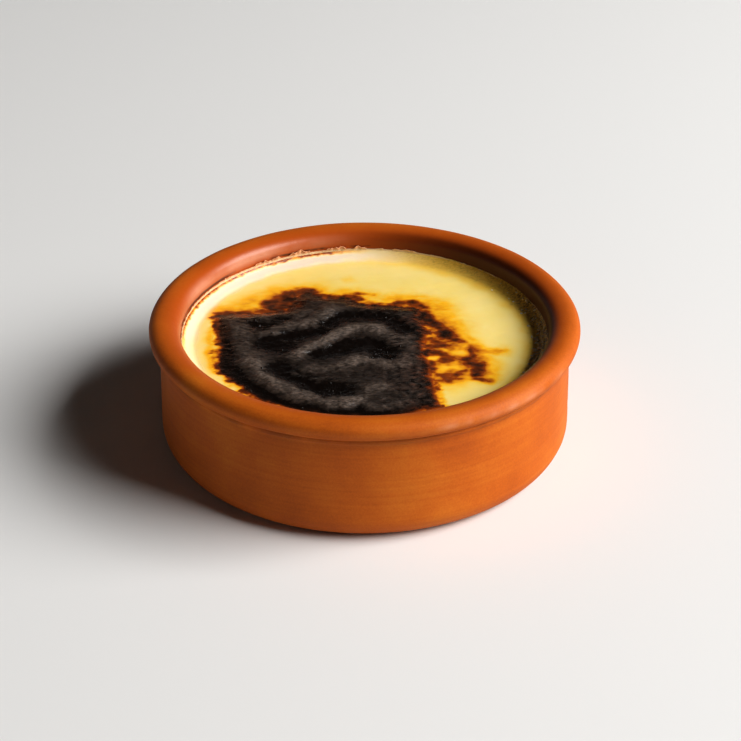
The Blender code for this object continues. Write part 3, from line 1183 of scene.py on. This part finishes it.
@dataclass
class MilkPudding:
    """The set pudding: a round of skin with its relief, and its sides down into the dish."""

    dish: ThrownDish
    cells: int = 268  # cells across the skin, 0.4 mm each
    level: float = 29.0 * MM
    dome: float = 0.4 * MM
    contact_height: float = 31.5 * MM
    bedding: float = 0.25 * MM  # how far the skin reaches into the wall, so that no gap shows
    meniscus_width: float = 3.7 * MM
    burnt_thickness: float = 0.4 * MM
    burnt_edge: float = 6.0 * MM
    crinkle: float = 0.3 * MM  # height of the fine wrinkles of the burnt skin
    ripple: float = 0.16 * MM  # faint unevenness of the cream skin
    ring_height: float = 0.26 * MM  # rings that the sinking milk left at the wall
    ring_spacing: float = 1.15 * MM
    foot_height: float = 11.0 * MM
    side_gap: float = 0.3 * MM  # between its hidden sides and the dish
    finish: BakedMilkSkin = field(default_factory=BakedMilkSkin)

    def edge_radius(self) -> float:
        """Returns the radius at which the skin ends, just inside the clay."""
        return self.dish.inner_radius(self.contact_height) + self.bedding

    def lay_round(self) -> Piece:
        """Adds a fine grid and rounds it to a disc whose cells all keep about the same size.

        Returns:
            The flat skin at the pudding's level.
        """
        bpy.ops.object.select_all(action="DESELECT")
        bpy.ops.mesh.primitive_grid_add(x_subdivisions=self.cells, y_subdivisions=self.cells, size=2.0)
        skin = bpy.context.active_object
        skin.name = "baked_pudding"
        u, v, _ = places_of(skin)
        reach = np.maximum(np.abs(u), np.abs(v))
        wide = np.abs(u) >= np.abs(v)
        safe_u = np.where(u == 0.0, 1.0, u)
        safe_v = np.where(v == 0.0, 1.0, v)
        angle = np.where(wide, math.pi / 4 * v / safe_u, math.pi / 2 - math.pi / 4 * u / safe_v)
        signed = np.where(wide, u, v) * self.edge_radius()
        signed = np.where(reach == 0.0, 0.0, signed)
        places = np.stack([signed * np.cos(angle), signed * np.sin(angle), np.full(u.shape, self.level)], 1)
        skin.data.vertices.foreach_set("co", places.ravel())
        skin.data.update()
        return skin

    def climb(self, radius: np.ndarray) -> np.ndarray:
        """Returns 0 on the flat part and 1 where the skin meets the wall."""
        flat = self.edge_radius() - self.meniscus_width
        return np.clip((radius - flat) / self.meniscus_width, 0.0, 1.0)

    def burnt_share(self, x: np.ndarray, y: np.ndarray) -> np.ndarray:
        """Returns 1 on the burnt patch and 0 off it, with a soft edge."""
        return smooth_step(outline_depth(x, y, BURNT_OUTLINE) / self.burnt_edge + 0.15)

    def rings(self, x: np.ndarray, y: np.ndarray) -> np.ndarray:
        """Works out the grooves that the sinking milk left at the wall, deepest on the right.

        Args:
            x: The places' X, in metres.
            y: The places' Y, in metres.

        Returns:
            1 in the middle of a groove and 0 off them, for each place.
        """
        radius = np.hypot(x, y)
        wander = noise_field(x, y, 11.0 * MM, 3, 1.0, 5.0)
        phase = math.tau * (radius + 0.7 * MM * wander) / self.ring_spacing
        side = 0.03 + 0.97 * toward(x, y, 5.0, 0.1, 1.0)
        return smooth_step(self.climb(radius) * 4.0) * (0.5 + 0.5 * np.cos(phase)) * side

    def astray(self, x: np.ndarray, y: np.ndarray) -> tuple[np.ndarray, np.ndarray]:
        """Shifts places a little, so that folds and stains wander from their drawn lines.

        Args:
            x: The places' X, in metres.
            y: The places' Y, in metres.

        Returns:
            The shifted X and Y.
        """
        along = noise_field(x, y, 6.0 * MM, 3, 1.2, 1.0)
        across = noise_field(x, y, 5.0 * MM, 4, 1.3, 2.0)
        return x + 1.3 * MM * along, y + 1.2 * MM * across

    def strongest(self, kind: FoldKind, x: np.ndarray, y: np.ndarray) -> np.ndarray:
        """Returns the height of the strongest fold of a kind at each place, in millimetres."""
        return np.maximum.reduce([fold.height * fold.share(x, y) for fold in FOLDS if fold.kind is kind])

    def raise_relief(self, skin: Piece) -> None:
        """Raises the dome, the climb at the wall, the burnt skin, its folds and its wrinkles.

        Args:
            skin: The flat skin.
        """
        x, y, _ = places_of(skin)
        radius = np.hypot(x, y)
        climb = self.climb(radius)
        burnt = self.burnt_share(x, y) * (1.0 - climb)
        flat = self.edge_radius() - self.meniscus_width
        raise_by(skin, "dome", 1.0 - np.minimum(radius / flat, 1.0) ** 2, self.dome)
        raise_by(skin, "climb", 0.5 * climb + 0.5 * climb**2, self.contact_height - self.level)
        raise_by(skin, "burnt skin", burnt, self.burnt_thickness)
        for kind, sign in ((CREST, 1.0), (HOLLOW, -1.0)):
            rise = self.strongest(kind, *self.astray(x, y)) * (1.0 + 0.6 * noise_field(x, y, 6.0 * MM, 3))
            rise = np.clip(rise, 0.0, None)
            raise_by(skin, kind.value, burnt * rise / rise.max(), sign * rise.max() * MM)
        wrinkles = 1.0 - 1.6 * np.abs(noise_field(x, y, 2.2 * MM, 3, 2.2, 3.0))
        raise_by(skin, "wrinkles", burnt * np.clip(wrinkles, 0.0, 1.0), self.crinkle)
        uneven = 0.5 + 0.5 * noise_field(x, y, 7.0 * MM, 3, 1.4, 9.0)
        raise_by(skin, "ripples", (1.0 - burnt) * np.clip(uneven, 0.0, 1.0), self.ripple)
        raise_by(skin, "rings", 1.0 - self.rings(x, y), self.ring_height)

    def pull_down_sides(self, skin: Piece) -> None:
        """Extrudes the skin's edge down inside the dish and closes the bottom.

        Args:
            skin: The raised skin.
        """
        edge = self.edge_radius()
        wall = self.dish.inner_radius(self.foot_height) - self.side_gap
        floor = self.dish.floor_thickness + self.side_gap
        rings = [
            (edge - 0.6 * MM, self.contact_height - 0.8 * MM),
            (wall, self.foot_height),
            (wall - 1.6 * MM, floor + 1.8 * MM),
            (wall - 5.6 * MM, floor),
        ]
        activate(skin)
        extend_edge(edge, self.contact_height, rings)
        bpy.ops.mesh.edge_face_add()
        bpy.ops.mesh.select_all(action="SELECT")
        bpy.ops.mesh.normals_make_consistent(inside=False)
        bpy.ops.object.mode_set(mode="OBJECT")

    def build(self) -> Piece:
        """Builds the pudding from its skin down.

        Returns:
            The finished pudding.
        """
        pudding = self.lay_round()
        SkinStains(self, pudding).store()
        self.raise_relief(pudding)
        self.pull_down_sides(pudding)
        dress(pudding, self.finish.material(), 60.0)
        add_to_model(pudding, "rice_pudding")
        return pudding


@dataclass
class SkinStains:
    """What the oven left on the pudding's skin, with painted shade and sheen: scorch, crust, dry folds and
    milk film.

    Each is worked out for every point of the flat skin, from 0 to 1. They share a few noises, so that
    their edges fray together. Depths and distances in here are in millimetres.
    """

    pudding: MilkPudding
    skin: Piece
    halo_scorch: float = 0.22  # the golden halo round the char
    rust_scorch: float = 0.66  # the rusty margin inside the halo
    shade_tint_scorch: float = 0.14  # painted shade: a golden tint on the cream where the right wall's shadow falls
    shade_tint_bearing: float = 18.0
    fringe_scorch: float = 0.42  # the browned fringe at the wall, behind on the left
    fringe_bearing: float = 140.0
    crust_and_shade_bearing: float = -16.0  # the brown crust at the right wall, darkened as painted shade
    thin_crust_and_shade_bearing: float = 30.0  # the thin crust behind it, darkened as painted shade
    film_radius: float = 46.9  # where the milk film starts
    wet_bearing: float = 122.0  # where most of the film is

    def __post_init__(self) -> None:
        """Works out the noises and measures that the stains share."""
        x, y, _ = places_of(self.skin)
        self.x, self.y, self.astray = x, y, self.pudding.astray(x, y)
        # Noises, from the widest to the finest.
        self.wide = noise_field(x, y, 6.0 * MM, 4, 1.2, 1.0)
        self.close = noise_field(x, y, 2.0 * MM, 3, 1.3, 2.0)
        self.texture = noise_field(x, y, 1.0 * MM, 3, 2.0, 4.0)
        self.tiny = noise_field(x, y, 0.9 * MM, 2, 1.2, 5.0)
        # Shares that are 1 on one side of the skin and 0 on the other.
        self.right = smooth_step((x / MM - 2.0) / 14.0)
        self.behind = smooth_step((y / MM - 2.0) / 12.0)
        self.left = smooth_step(0.62 - x / (45.0 * MM))
        # The streaks on the right, the hollows, the way in from the wall, and the depth in the char.
        self.streaks = self.right * noise_field(x, y, 1.5 * MM, 3, 2.6, 15.0)
        self.hollow = self.pudding.strongest(HOLLOW, *self.astray) / 0.6
        self.inward = (self.pudding.edge_radius() - np.hypot(x, y)) / MM
        frayed = 0.7 * self.wide, 0.6 * self.close, 0.3 * self.tiny, 0.4 * self.streaks
        self.depth = sum(frayed, outline_depth(*self.astray, BURNT_OUTLINE) / MM)

    def margin(self) -> np.ndarray:
        """Works out the halo and the rust round the char, both widest towards the back right.

        Returns:
            How browned each place is by them.
        """
        away = outline_depth(self.x, self.y, BURNT_OUTLINE) / MM + 1.3 * self.wide
        open_side = smooth_step(0.5 + (self.y + 0.7 * self.x) / (22.0 * MM))
        halo = smooth_step((away + 2.0 + 3.4 * open_side) / (1.6 + 2.0 * open_side))
        rusty = np.maximum(away + 0.9 * self.close + 0.5 * self.tiny, self.depth + 0.3) + 0.5 * self.streaks
        rust = smooth_step((rusty + 2.1 - 0.6 * self.right + 0.5 * self.behind) / 2.9)
        rust = self.rust_scorch * (0.8 + 0.2 * open_side) * rust
        patchy = 0.25 + 0.9 * noise_field(self.x, self.y, 3.2 * MM, 3, 1.6, 17.0)
        rust *= 1.0 - self.right * (1.0 - self.behind) * np.clip(patchy, 0.0, 0.45)
        return np.maximum(self.halo_scorch * halo, rust)

    def toast(self) -> np.ndarray:
        """Lays the browner and the paler places over the margin's browning.

        Returns:
            How browned each place is off the char.
        """
        pale, spared = 1.0 - self.margin(), np.ones(self.x.shape)
        for spot in TOASTING:
            share = spot.share(*self.astray)
            if spot.scorch > 0.0:
                pale = np.minimum(pale, 1.0 - share) * (1.0 - 0.12 * share)
            else:
                spared *= 1.0 - share
        return (1.0 - pale) * (1.0 + 0.28 * self.wide + 0.3 * self.close) * spared

    def fringe(self) -> np.ndarray:
        """Returns 1 on the narrow fringe at the wall that browned without burning."""
        near = smooth_step((1.5 - self.inward + 0.3 * self.close) / 0.7)
        return toward(self.x, self.y, self.fringe_bearing, 0.5, 0.85) * near

    def scorch(self) -> np.ndarray:
        """Brings together the char, what it spares, all that is browned, and painted shade at the right
        wall.

        Returns:
            How burnt each place is; 1 is black.
        """
        soft = 4.4 + 1.8 * np.maximum(self.right, self.behind)
        core = smooth_step((self.depth + 1.8 - 0.3 * self.right) / soft)
        char = smooth_step((self.depth - 1.0) / 3.0)
        mottled = np.clip(0.5 - self.hollow + self.texture + 0.6 * self.wide, 0.0, 1.0)
        scorch = np.maximum(core, self.toast()) - char * ((0.12 + 0.24 * self.right) * mottled)
        scorch = np.maximum(scorch, (self.fringe_scorch + 0.16 * self.texture) * self.fringe())
        # Painted shade: a golden tint on the cream where the right wall's shadow falls.
        shade_tint = smooth_step((9.0 - self.inward + 1.5 * self.wide) / 5.0)
        shade_tint = toward(self.x, self.y, self.shade_tint_bearing, 0.05, 0.7) * shade_tint
        return np.maximum(scorch, self.shade_tint_scorch * shade_tint)

    def crust_and_shade(self) -> np.ndarray:
        """Works out the brown crust beside the wall, darkened as painted shade where the wall's shadow
        falls.

        Returns:
            How much of it lies on each place.
        """
        thick = toward(self.x, self.y, self.crust_and_shade_bearing, 0.3, 0.95)
        thin = 0.3 * toward(self.x, self.y, self.thin_crust_and_shade_bearing, 0.5, 0.95)
        near = smooth_step((5.2 - self.inward + 1.8 * self.close) / 4.6)
        return np.maximum(thick, thin) * near * (0.9 + 0.5 * self.texture)

    def dry_folds_and_sheen(self) -> np.ndarray:
        """Works out where the char turns grey, most on the folds: dry ash, and painted sheen of the light.

        Returns:
            How dry each place is.
        """
        lumps = 1.0 + 0.6 * noise_field(self.x, self.y, 6.0 * MM, 3)
        raised = np.clip(self.pudding.strongest(CREST, *self.astray) * lumps, 0.0, None)
        crest = (raised / 0.75) ** 1.5
        dust_and_sheen = (0.75 + 0.3 * self.texture) * crest - 0.65 * self.hollow + 0.22 + 0.02 * self.right
        dust_and_sheen += (0.18 + 0.36 * self.right) * self.texture
        burnt = self.depth - 1.0 - 0.9 * np.maximum(self.right, self.behind)
        return np.clip(dust_and_sheen, 0.0, 1.0) * smooth_step(burnt / (3.4 + 1.4 * self.right))

    def film(self) -> np.ndarray:
        """Works out the pale film of milk along the wall, thinner in the rings' grooves.

        Returns:
            How much of it lies on each place.
        """
        radius = np.hypot(self.x, self.y) / MM
        milky = smooth_step((radius - self.film_radius + 0.9 * self.left + 0.8 * self.wide) / 3.2)
        milky *= (1.0 - 0.6 * self.pudding.rings(self.x, self.y)) * (1.0 - self.fringe())
        wet = 0.5 + 0.5 * toward(self.x, self.y, self.wet_bearing, 0.3, 0.85)
        return (0.04 + 0.96 * self.left) * wet * milky

    def store(self) -> None:
        """Stores the four values on the skin; the scorch and crust hold painted shade, the folds painted
        sheen.
        """
        paint(self.skin, "scorch", np.clip(self.scorch(), 0.0, 1.0))
        paint(self.skin, "crust_and_shade", np.clip(self.crust_and_shade(), 0.0, 1.0))
        paint(self.skin, "crest", self.dry_folds_and_sheen())
        paint(self.skin, "film", self.film())


# ---------------------------------------------------------------------------------------------
# Dried milk, flecks and beads
# ---------------------------------------------------------------------------------------------


@dataclass
class MilkFrill:
    """The torn edge of the milk skin, which boiled up, dried on the wall and curled away from it."""

    dish: ThrownDish
    columns: int = 1100
    rows: int = 6
    low: float = 31.2 * MM
    usual_top: float = 31.75 * MM
    splash: float = 1.35 * MM  # how much higher the highest scraps reach
    curl: float = 0.8 * MM  # how far the scraps lean away from the wall
    thickness: float = 0.16 * MM
    finish: DriedMilk = field(default_factory=DriedMilk)

    def top(self, bearing: np.ndarray) -> np.ndarray:
        """Tears the frill's top, which is highest at the back.

        Args:
            bearing: Bearings in radians.

        Returns:
            The height of its torn top at each.
        """
        x, y = np.cos(bearing), np.sin(bearing)
        scraps = np.sqrt(np.clip(0.12 + 2.4 * noise_field(x, y, 0.11, 3, 1.0, 6.0), 0.0, 1.0))
        torn = np.clip(0.7 + 0.8 * noise_field(x, y, 0.03, 3, 1.0, 7.0), 0.2, 1.0)
        behind = 0.2 + 0.8 * np.exp(-(((bearing - math.radians(108.0)) / math.radians(30.0)) ** 2))
        strand = 0.3 * MM * toward(x, y, 140.0, 0.5, 0.85) - 0.45 * MM * toward(x, y, -10.0, 0.1, 0.6)
        return self.usual_top + strand + self.splash * behind * scraps * torn

    def build(self) -> Piece:
        """Builds the frill as a band on the wall, and gives it its thickness.

        Returns:
            The finished frill.
        """
        bpy.ops.object.select_all(action="DESELECT")
        bpy.ops.mesh.primitive_circle_add(
            vertices=self.columns, radius=self.dish.inner_radius(self.low), fill_type="NOTHING"
        )
        frill = bpy.context.active_object
        frill.name = "dried_milk_frill"
        bpy.ops.object.mode_set(mode="EDIT")
        bpy.ops.mesh.select_all(action="SELECT")
        bpy.ops.transform.translate(value=(0.0, 0.0, self.low))
        for _ in range(self.rows):
            bpy.ops.mesh.extrude_edges_move(TRANSFORM_OT_translate={"value": (0.0, 0.0, MM)})
        bpy.ops.object.mode_set(mode="OBJECT")
        self.fit_to_wall(frill)
        apply_modifier(frill, "SOLIDIFY", thickness=self.thickness, offset=0.0)
        dress(frill, self.finish.material(), 60.0)
        add_to_model(frill)
        return frill

    def fit_to_wall(self, frill: Piece) -> None:
        """Moves the band's points onto the wall, up to its torn top, and stores how thin it is.

        Args:
            frill: The straight band, as it was extruded.
        """
        x, y, z = places_of(frill)
        bearing = np.arctan2(y, x)
        row = (z - self.low) / (self.rows * MM)
        rise = self.top(bearing) - self.low
        height = self.low + row * rise
        wall = np.array([self.dish.inner_radius(h) for h in height])
        grain = noise_field(x, y, 1.3 * MM, 2, 1.0, 8.0)
        leaning = self.curl * row**2 * np.clip(rise / MM - 0.6, 0.0, 1.0) * (0.7 + grain)
        radius = wall - 0.1 * MM - leaning
        places = np.stack([radius * np.cos(bearing), radius * np.sin(bearing), height], 1)
        frill.data.vertices.foreach_set("co", places.ravel())
        frill.data.update()
        paint(frill, "thin", np.clip(1.4 * (height - self.usual_top) / MM, 0.0, 1.0))


@dataclass(frozen=True)
class Crumb:
    """The look of the small things that lie on the skin."""

    name: str
    colour: str
    darker: str
    roughness: float

    def material(self) -> bpy.types.Material:
        """Mixes a finish that differs a little from crumb to crumb.

        Returns:
            The material.
        """
        material, tree, shader = new_material(self.name)
        place = add_node(tree, "ShaderNodeTexCoord").outputs["Object"]
        patch = add_node(
            tree, "ShaderNodeTexNoise", {"Scale": 1.0 / (2.0 * MM), "Detail": 1.0}, {"Vector": place}
        )
        shade = add_node(tree, "ShaderNodeValToRGB", None, {"Fac": patch.outputs["Fac"]})
        set_ramp(shade, [(0.35, self.darker), (0.65, self.colour)])
        tree.links.new(shade.outputs["Color"], shader.inputs["Base Color"])
        shader.inputs["Roughness"].default_value = self.roughness
        return material


class Litter(Enum):
    """What is strewn over the skin."""

    FLECKS = "milk_flecks"  # dried milk that fell back on the rings at the right
    BEADS = "caramel_beads"  # sugar that boiled out in the hollows of the burnt skin


@dataclass
class Strewn:
    """Many small crumbs of one kind, pressed a little into the skin."""

    kind: Litter
    count: int
    smallest: float
    largest: float
    flatness: float
    finish: Crumb
    seed: int = 7
    facing: float = -12.0  # degrees, the middle of the stretch of rings that has flecks
    reach: float = 44.0  # degrees to each side of it
    ring: Point = (47.0 * MM, 50.9 * MM)  # radii between which the flecks lie
    scatter: Point = (1.6, 1.2)  # millimetres that beads stray along X and Y from a hollow's line
    drop_height: float = 50.0 * MM  # height above the whole dish from which they fall

    def spot(self, draw: np.random.Generator) -> Point:
        """Draws a place for one crumb.

        Args:
            draw: The source of random numbers.

        Returns:
            The place's X and Y.
        """
        if self.kind is Litter.FLECKS:
            bearing = math.radians(draw.normal(self.facing, 0.5 * self.reach))
            radius = draw.uniform(*self.ring)
            return (radius * math.cos(bearing), radius * math.sin(bearing))
        hollows = [fold for fold in FOLDS if fold.kind is HOLLOW]
        line = smooth_line(hollows[draw.integers(len(hollows))].line)
        x, y = line[draw.integers(len(line))]
        return ((x + draw.normal(0.0, self.scatter[0])) * MM, (y + draw.normal(0.0, self.scatter[1])) * MM)

    def build(self, pudding: Piece) -> Piece:
        """Strews the crumbs over the pudding as one mesh.

        Args:
            pudding: The finished pudding.

        Returns:
            The finished crumbs.
        """
        draw = np.random.default_rng(self.seed)
        bpy.ops.object.select_all(action="DESELECT")
        crumbs = None
        for _ in range(self.count):
            x, y = self.spot(draw)
            size = draw.uniform(self.smallest, self.largest)
            turn = draw.uniform(0.0, math.tau)
            _, place, normal, _ = pudding.ray_cast((x, y, self.drop_height), (0.0, 0.0, -1.0))
            tilt = normal.to_track_quat("Z", "Y").to_euler()
            bpy.ops.mesh.primitive_ico_sphere_add(
                subdivisions=2,
                radius=size,
                location=place,
                rotation=(tilt.x, tilt.y, turn),
                scale=(1.0, draw.uniform(0.5, 0.9), self.flatness),
            )
            if crumbs is None:
                crumbs = bpy.context.active_object
                crumbs.name = self.kind.value
                bpy.ops.object.transform_apply(location=True, rotation=True, scale=True)
                bpy.ops.object.mode_set(mode="EDIT")
        bpy.ops.object.mode_set(mode="OBJECT")
        activate(crumbs)
        bpy.ops.object.shade_smooth()
        crumbs.data.materials.append(self.finish.material())
        add_to_model(crumbs)
        return crumbs


# ---------------------------------------------------------------------------------------------
# Studio
# ---------------------------------------------------------------------------------------------


class LightRole(Enum):
    """What a studio light is for."""

    KEY = "key_window"
    FILL = "front_fill"


@dataclass(frozen=True)
class SoftLight:
    """A rectangular light that points at the dish."""

    role: LightRole
    azimuth: float  # degrees from +X towards +Y
    elevation: float
    distance: float
    width: float
    height: float
    power: float
    colour: str = "#FFFFFF"

    def place(self, target: Vector) -> Piece:
        """Adds the light.

        Args:
            target: The point that it faces.

        Returns:
            The light's object.
        """
        turn, rise = math.radians(self.azimuth), math.radians(self.elevation)
        away = Vector((math.cos(turn) * math.cos(rise), math.sin(turn) * math.cos(rise), math.sin(rise)))
        data = bpy.data.lights.new(self.role.value, "AREA")
        data.shape = "RECTANGLE"
        data.size = self.width
        data.size_y = self.height
        data.energy = self.power
        data.color = linear(self.colour)[:3]
        light = bpy.data.objects.new(self.role.value, data)
        light.location = target + away * self.distance
        light.rotation_euler = away.to_track_quat("Z", "Y").to_euler()
        bpy.context.scene.collection.objects.link(light)
        return light


@dataclass
class Studio:
    """The pale floor that sweeps up all round, the lights and the camera."""

    elevation: float = 30.4  # degrees that the camera looks down
    distance: float = 540.0 * MM
    lens: float = 92.4  # millimetres, on a sensor of the usual width
    sensor: float = 36.0
    target: Vector = field(default_factory=lambda: Vector((0.0, 0.0, 18.0 * MM)))
    aside: Point = (1.64 * MM, 0.82 * MM)  # how far right of and above the target it aims
    floor_radius: float = 2.4
    sweep: float = 0.9  # radius of the sweep at its edge
    paper: str = "#E3E2E0"
    paper_roughness: float = 0.9
    room: str = "#FFEEDA"  # colour of the dim light from all round
    ambient: float = 0.015
    contrast: float = 0.85  # display gamma; below 1 it deepens the shadows
    lights: tuple[SoftLight, ...] = (
        SoftLight(LightRole.KEY, -11.0, 37.0, 2.2, 1.7, 1.25, 95.0),
        SoftLight(LightRole.FILL, -75.0, 25.0, 2.0, 1.6, 1.0, 0.2),
    )

    def camera(self) -> Piece:
        """Adds the camera and makes it the scene's.

        Returns:
            The camera.
        """
        rise = math.radians(self.elevation)
        back = Vector((0.0, -math.cos(rise), math.sin(rise)))
        upwards = Vector((0.0, math.sin(rise), math.cos(rise)))
        data = bpy.data.cameras.new("camera")
        data.lens = self.lens
        data.sensor_width = self.sensor
        data.clip_start = 0.01
        data.clip_end = 20.0
        camera = bpy.data.objects.new("camera", data)
        camera.location = self.target + back * self.distance
        aim = self.target + Vector((self.aside[0], 0.0, 0.0)) + upwards * self.aside[1]
        camera.rotation_euler = (camera.location - aim).to_track_quat("Z", "Y").to_euler()
        bpy.context.scene.collection.objects.link(camera)
        bpy.context.scene.camera = camera
        return camera

    def floor(self) -> Piece:
        """Builds the floor as a disc whose edge sweeps up into a low wall.

        Returns:
            The floor.
        """
        bpy.ops.object.select_all(action="DESELECT")
        bpy.ops.mesh.primitive_circle_add(vertices=128, radius=self.floor_radius, fill_type="NGON")
        floor = bpy.context.active_object
        floor.name = "studio_floor"
        start, *arc = elliptic_arc((self.floor_radius, self.sweep), (self.sweep, self.sweep), -90, 0, 10)
        extend_edge(*start, arc)
        bpy.ops.object.mode_set(mode="OBJECT")
        bpy.ops.object.shade_smooth()
        material, _, shader = new_material("paper sweep, matt white")
        shader.inputs["Base Color"].default_value = linear(self.paper)
        shader.inputs["Roughness"].default_value = self.paper_roughness
        floor.data.materials.append(material)
        return floor

    def build(self) -> None:
        """Sets up the camera, the floor, the lights and the dim surroundings."""
        self.camera()
        self.floor()
        for light in self.lights:
            light.place(self.target)
            log.info("%s: %.1f W", light.role.value, light.power)
        world = bpy.data.worlds.new("dim room")
        world.use_nodes = True
        background = world.node_tree.nodes["Background"]
        background.inputs["Color"].default_value = linear(self.room)
        background.inputs["Strength"].default_value = self.ambient
        scene = bpy.context.scene
        scene.world = world
        scene.view_settings.view_transform = "Standard"
        scene.view_settings.gamma = self.contrast


def main() -> None:
    """Builds the studio, the dish, the pudding, the milk that dried on the wall and the crumbs."""
    logging.basicConfig(level=logging.INFO, format="%(name)s %(message)s")
    Studio().build()
    dish = ThrownDish()
    dish.build()
    pudding = MilkPudding(dish).build()
    MilkFrill(dish).build()
    fleck = Crumb("dried milk, flaked off the wall", "#F8EDD0", "#DCC8A0", 0.5)
    bead = Crumb("boiled sugar, burnt black and glassy", "#1A0F09", "#0C0705", 0.08)
    Strewn(Litter.FLECKS, 140, 0.22 * MM, 0.6 * MM, 0.55, fleck).build(pudding)
    Strewn(Litter.BEADS, 64, 0.2 * MM, 0.46 * MM, 0.8, bead, seed=11).build(pudding)


if __name__ == "__main__":
    main()
